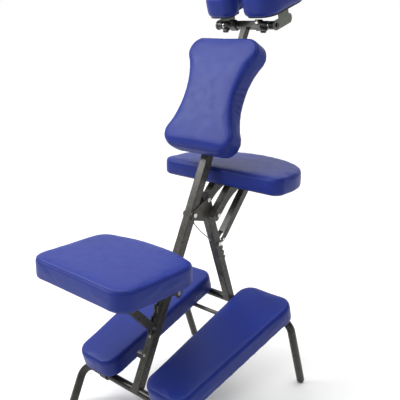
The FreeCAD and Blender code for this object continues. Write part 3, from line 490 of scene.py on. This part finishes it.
def foam_block(name, loop, sides, facing, base, reach, rolls, low_roll):
    """A block over an outline, its upper rim rounded by each point's roll and its lower rim by one radius."""
    bm = bmesh.new()
    rings = []
    for turn in (math.radians(30 * step) for step in range(4)):
        inset, height = low_roll * (1 - math.sin(turn)), base + low_roll * (1 - math.cos(turn))
        rings.append([bm.verts.new(point - side * inset + facing * height) for point, side in zip(loop, sides)])
    for turn in (math.radians(22.5 * step) for step in range(5)):
        ring = []
        for point, side, roll in zip(loop, sides, rolls):
            inset, height = roll * (1 - math.cos(turn)), reach - roll * (1 - math.sin(turn))
            ring.append(bm.verts.new(point - side * inset + facing * height))
        rings.append(ring)
    count = len(loop)
    for lower, upper in zip(rings, rings[1:]):
        for i in range(count):
            j = (i + 1) % count
            bm.faces.new((lower[i], lower[j], upper[j], upper[i]))
    bm.faces.new(rings[0])
    bm.faces.new(rings[-1])
    bmesh.ops.triangulate(bm, faces=[f for f in bm.faces if len(f.verts) > 4])
    return from_bmesh(name, bm, "vinyl")


def inflate(item, pressure, cap, frames=20):
    """Blow the skin up as cloth, with no gravity, and hold every point closer than the cap to where it was."""
    before = positions(item.data)
    modifier = item.modifiers.new("cloth", "CLOTH")
    settings = modifier.settings
    settings.use_pressure = True
    settings.uniform_pressure_force = pressure
    settings.quality = 5
    settings.mass = 0.3
    settings.tension_stiffness = 25
    settings.compression_stiffness = 25
    settings.bending_stiffness = 4
    settings.effector_weights.gravity = 0
    modifier.collision_settings.use_collision = False
    modifier.collision_settings.use_self_collision = False
    modifier.point_cache.frame_start = 1
    modifier.point_cache.frame_end = frames
    scene = bpy.context.scene
    for step in range(1, frames + 1):
        scene.frame_set(step)
    graph = bpy.context.evaluated_depsgraph_get()
    after = positions(item.evaluated_get(graph).data)
    item.modifiers.clear()
    scene.frame_set(1)
    move = after - before
    move *= cap / (cap + np.linalg.norm(move, axis=1, keepdims=True))
    move_to(item.data, before + move)


def cushion(name, node, board, roll=11 * MM, low_roll=5 * MM, pressure=4.0, cap=3 * MM,
            roll_at=None, shape=None):
    """An upholstered pad in the place of its CAD solid: foam under stretched vinyl, with a sewn top edge."""
    facing, middle = pad_axes(node, board)
    source = NODES[node].data
    depths = (positions(source) - np.array(middle)) @ np.array(facing)
    base, reach = depths.min() + LIFT, depths.max()
    loop = resample(slice_loop(source, middle, facing), OUTLINE_STEP)
    sides = loop_sides(loop, facing)
    rolls = [roll_at(point, side) if roll_at else roll for point, side in zip(loop, sides)]
    inner = [point - side * SKIN for point, side in zip(loop, sides)]
    item = foam_block(name, inner, sides, facing, base, reach - SKIN, rolls, low_roll)
    remesh(item, VOXEL)
    smooth(item, 0.5, 3)
    inflate(item, pressure, cap)
    points = positions(item.data)
    depth = (points - np.array(middle)) @ np.array(facing)
    points += np.outer(np.maximum(0, base - depth), np.array(facing))
    move_to(item.data, points)
    smooth(item, 0.4, 2)
    subdivide(item)
    if shape:
        shape(item.data, facing, middle, base, reach)
    path = seam_path(item, loop, sides, facing, reach, rolls)
    press_groove(item.data, path)
    item.data.shade_smooth()
    stitches = [place - slant * THREAD_SINK for place, slant in path]
    seam = tube(f"{name}_seam", stitches, THREAD_RADIUS, "vinyl", closed=True)
    for piece in (item, seam):
        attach(piece, BODY_OF[node])
    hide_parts(node)


def seam_path(item, loop, sides, facing, reach, rolls):
    """Where the sewn edge runs: found on the skin, looking in at the rim on a slant."""
    tree = BVHTree.FromPolygons([v.co for v in item.data.vertices], [p.vertices for p in item.data.polygons])
    path = []
    for point, outward, roll in zip(loop, sides, rolls):
        slant = (outward * 1.1 + facing).normalized()
        inner = point + facing * reach - (outward + facing) * roll
        hit = tree.ray_cast(inner + slant * 0.05, -slant)
        if hit[0] is not None:
            path.append((hit[0], slant))
    return path


def press_groove(mesh, path, width=6 * MM, depth=1.3 * MM):
    """Sink the skin a little along the seam."""
    finder = KDTree(len(path))
    for index, (place, _) in enumerate(path):
        finder.insert(place, index)
    finder.balance()
    for vertex in mesh.vertices:
        _, index, far = finder.find(vertex.co)
        if far < width:
            vertex.co -= path[index][1] * depth * (1 - (far / width) ** 2) ** 2
    mesh.update()


def waist_creases(mesh, facing, middle, base, reach):
    """Pull the chest pad's side walls into the few slanting creases that gather at its waist."""
    points = positions(mesh)
    outward = normals(mesh)
    up = np.array(POST_UP)
    ahead = np.array(facing)
    span = reach - base
    waist = np.array(POST_FOOT) + up * CHEST_WAIST
    along = (points - waist) @ up
    deep = ((points - np.array(middle)) @ ahead - base) / span
    wall = 1 - np.clip(np.abs(outward @ ahead) * 1.6, 0, 1)
    drop = np.zeros(len(points))
    for place, rise, strength in CREASES:
        line = along / MM - place - rise * (deep - 0.5)
        drop += strength * np.exp(-(line / CREASE_WIDTH) ** 2)
    fade = np.clip(np.sin(np.pi * np.clip(deep, 0, 1)), 0, 1) ** 0.7
    points -= outward * (CREASE_DEPTH * drop * fade * wall)[:, None]
    move_to(mesh, points)


def chest_roll(point, side):
    """The chest pad's rim: a wide roll round its lower end, tighter along the rest."""
    downward = max(0.0, -side.dot(Vector(POST_UP)))
    return 11 * MM + 17 * MM * downward ** 2


def cushions():
    """All the chair's pads."""
    cushion("seat_cushion", "seat_pad", "seat_board")
    cushion("armrest_cushion", "armrest_pad", "armrest_board")
    cushion("chest_cushion", "chest_pad", "chest_board", cap=4 * MM, roll_at=chest_roll, shape=waist_creases)
    for name in SIDES:
        cushion(f"knee_cushion_{name}", f"knee_pad_{name}", f"knee_board_{name}")
    cushion("face_pad", "face_cushion", "cradle_board", roll=24 * MM, low_roll=16 * MM, cap=6 * MM)


# ---- Staples, welds and the safety cable ----

CROWN_CORNERS = ((-1, -1), (1, -1), (1, 1), (-1, 1))


def lay_staple(bm, place, way, up):
    """A wire staple's crown, pressed flat on a face: a low bar with sloping ends."""
    across = way.cross(up)
    half_length, half_width, height = 4.5 * MM, 0.5 * MM, 0.7 * MM
    low = [bm.verts.new(place + way * a * half_length + across * b * half_width) for a, b in CROWN_CORNERS]
    high = [bm.verts.new(place + way * a * half_length * 0.86 + across * b * half_width * 0.6 + up * height)
            for a, b in CROWN_CORNERS]
    bm.faces.new(high)
    bm.faces.new(reversed(low))
    for i in range(4):
        j = (i + 1) % 4
        bm.faces.new((low[i], low[j], high[j], high[i]))


def staples(pad, board, spacing=36 * MM, inset=7 * MM):
    """The row of staples that holds a pad's lining to the underside of its board."""
    facing, _ = pad_axes(pad, board)
    mesh = NODES[board].data
    middle = (Vector(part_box(board)[0]) + Vector(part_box(board)[1])) / 2
    under = (positions(mesh) @ np.array(facing)).min()
    loop = resample(slice_loop(mesh, middle, facing), spacing)
    sides = loop_sides(loop, facing)
    bm = bmesh.new()
    for point, side in zip(loop, sides):
        flat = point - side * inset
        place = flat + facing * (under - flat.dot(facing))
        slant = (side.cross(facing) + side * random.uniform(-0.15, 0.15)).normalized()
        lay_staple(bm, place, slant, -facing)
    item = from_bmesh(f"{board}_staples", bm, "zinc", smooth=False)
    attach(item, BODY_OF[board])


def weld_bead(name, body, foot, up, ahead):
    """The rippled fillet weld round a square post's coped foot, where it sits on a leg tube."""
    right = ahead.cross(up)
    half, beads_a_side = POST_HALF, 12
    ring = []
    for turn in range(4):
        for step in range(beads_a_side):
            slide = half * (2 * step / beads_a_side - 1)
            ring.append([(slide, -half), (half, slide), (-slide, half), (-half, -slide)][turn])
    points = []
    for x, y in ring:
        height = math.sqrt(max(0.0, LEG_RADIUS ** 2 - y ** 2))
        points.append(foot + right * x + ahead * y + up * height)
    swell = [1.0 + 0.22 * (index % 2) + random.uniform(-0.08, 0.08) for index in range(len(points))]
    bead = tube(name, points, WELD_RADIUS, "frame_paint", closed=True, swell=swell)
    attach(bead, body)


def nurbs_path(points):
    """The smooth line that control points give, as many points along it."""
    curve = bpy.data.curves.new("route", "CURVE")
    curve.dimensions = "3D"
    curve.resolution_u = 24
    spline = curve.splines.new("NURBS")
    spline.points.add(len(points) - 1)
    for point, place in zip(spline.points, points):
        point.co = (*place, 1)
    spline.order_u = 3
    spline.use_endpoint_u = True
    item = bpy.data.objects.new("route", curve)
    bpy.context.scene.collection.objects.link(item)
    graph = bpy.context.evaluated_depsgraph_get()
    mesh = bpy.data.meshes.new_from_object(item.evaluated_get(graph))
    line = [vertex.co.copy() for vertex in mesh.vertices]
    bpy.data.objects.remove(item)
    bpy.data.meshes.remove(mesh)
    return line


def safety_cable():
    """The thin cable between the two posts: both ends run into their eyes, and it sags a little across the
    hinge.
    """
    reach = POST_HALF + CABLE_LUG - CABLE_IN_LUG
    start = POST_FOOT + POST_AHEAD * reach + POST_UP * CABLE_TOP
    finish = FRONT_FOOT - FRONT_AHEAD * reach + FRONT_UP * CABLE_BOTTOM
    sag = Vector((0, 0, -CABLE_SAG))
    way = (finish - start).normalized()
    line = nurbs_path([start, start.lerp(finish, 1 / 3) + sag, start.lerp(finish, 2 / 3) + sag, finish])
    cable = tube("cable_line", line, CABLE_RADIUS, "steel_cable", sides=16)
    sleeves = []
    for name, end, back in (("post", line[0], way), ("front_post", line[-1], -way)):
        places = [end + back * d * MM for d in (1.0, 4.2, 4.8, 14.0, 14.6)]
        sleeves.append(tube(f"cable_sleeve_{name}", places, SLEEVE_RADIUS, "steel_cable", sides=16,
                            swell=[0.8, 0.85, 1.0, 1.0, 0.7]))
    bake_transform(cable)
    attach(sleeves[0], "main_frame")
    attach(sleeves[1], "front_frame")
    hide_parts("safety_cable")


def fixings():
    """The small metal pieces that finish the frame and the pads."""
    staples("seat_pad", "seat_board")
    staples("armrest_pad", "armrest_board")
    staples("chest_pad", "chest_board")
    staples("face_cushion", "cradle_board")
    for name in SIDES:
        staples(f"knee_pad_{name}", f"knee_board_{name}")
    weld_bead("post_weld", "main_frame", POST_FOOT, POST_UP, POST_AHEAD)
    weld_bead("front_post_weld", "front_frame", FRONT_FOOT, FRONT_UP, FRONT_AHEAD)
    safety_cable()


# ---- Floor, light and camera ----

def floor():
    """A plain pale floor."""
    bm = bmesh.new()
    bmesh.ops.create_grid(bm, x_segments=1, y_segments=1, size=60)
    mesh = bpy.data.meshes.new("floor")
    bm.to_mesh(mesh)
    bm.free()
    item = bpy.data.objects.new("floor", mesh)
    bpy.context.scene.collection.objects.link(item)
    material, tree, shader = new_material("pale_floor")
    tone = noise_field(tree, coordinates(tree), 3.0, 2.0)
    tree.links.new(ramp(tree, tone, [(0.3, 0.79), (0.7, 0.80)]), shader.inputs["Base Color"])
    shader.inputs["Roughness"].default_value = 0.9
    shader.inputs["Specular IOR Level"].default_value = 0.1
    mesh.materials.append(material)


def sun(name, towards, strength, spread):
    """A broad distant light that shines in a direction."""
    light = bpy.data.lights.new(name, "SUN")
    light.energy = strength
    light.angle = math.radians(spread)
    item = bpy.data.objects.new(name, light)
    item.rotation_euler = Vector(towards).to_track_quat("-Z", "Y").to_euler()
    bpy.context.scene.collection.objects.link(item)


def softbox(name, place, target, size, power):
    """A square softbox at a place, turned to a target."""
    light = bpy.data.lights.new(name, "AREA")
    light.size = size
    light.energy = power
    item = bpy.data.objects.new(name, light)
    item.location = place
    item.rotation_euler = (Vector(target) - Vector(place)).to_track_quat("-Z", "Y").to_euler()
    bpy.context.scene.collection.objects.link(item)


def lighting():
    """Soft studio light: a broad key from overhead, a high softbox, a smaller one whose sheen runs down the
    sloping post, and a white surround that dims towards the near side."""
    bpy.context.scene.view_settings.view_transform = "Standard"
    surround = bpy.data.worlds.new("studio")
    bpy.context.scene.world = surround
    surround.use_nodes = True
    tree = surround.node_tree
    direction = tree.nodes.new("ShaderNodeTexCoord")
    facing = tree.nodes.new("ShaderNodeVectorMath")
    facing.operation = "DOT_PRODUCT"
    facing.inputs[1].default_value = (-0.6, 0.7, 0.0)
    tree.links.new(direction.outputs["Generated"], facing.inputs[0])
    half_turned = arithmetic(tree, "ADD", arithmetic(tree, "MULTIPLY", facing.outputs["Value"], 0.5), 0.5)
    shade = ramp(tree, half_turned, [(0.48, 0.22), (0.9, 1.0)])
    tree.links.new(shade, tree.nodes["Background"].inputs["Color"])
    tree.nodes["Background"].inputs["Strength"].default_value = 1.0
    sun("key", (0.05, 0.06, -0.99), 2.9, 75)
    softbox("high_box", (-0.9, -1.25, 3.3), (0, 0, 0.8), 1.7, 30)
    softbox("left_strip", (-1.92, -1.70, 2.62), (0, 0.15, 0.95), 0.8, 60)


# The camera's place, and how it is turned, come from the view's azimuth and its angle below the level.
CAMERA_PLACE = (1.2051, -1.3417, 1.2657)
CAMERA_AZIMUTH = 40.84
CAMERA_DOWN = 16.73
CAMERA_LENS = 52.37


def camera():
    """The camera, set at the view that the chair is seen from."""
    lens = bpy.data.cameras.new("camera")
    lens.lens = CAMERA_LENS
    lens.sensor_width = 36
    item = bpy.data.objects.new("camera", lens)
    item.location = CAMERA_PLACE
    item.rotation_euler = (math.radians(90 - CAMERA_DOWN), 0, math.radians(CAMERA_AZIMUTH))
    bpy.context.scene.collection.objects.link(item)
    bpy.context.scene.camera = item


camera()
finish_cad_nodes()
cushions()
fixings()
floor()
lighting()
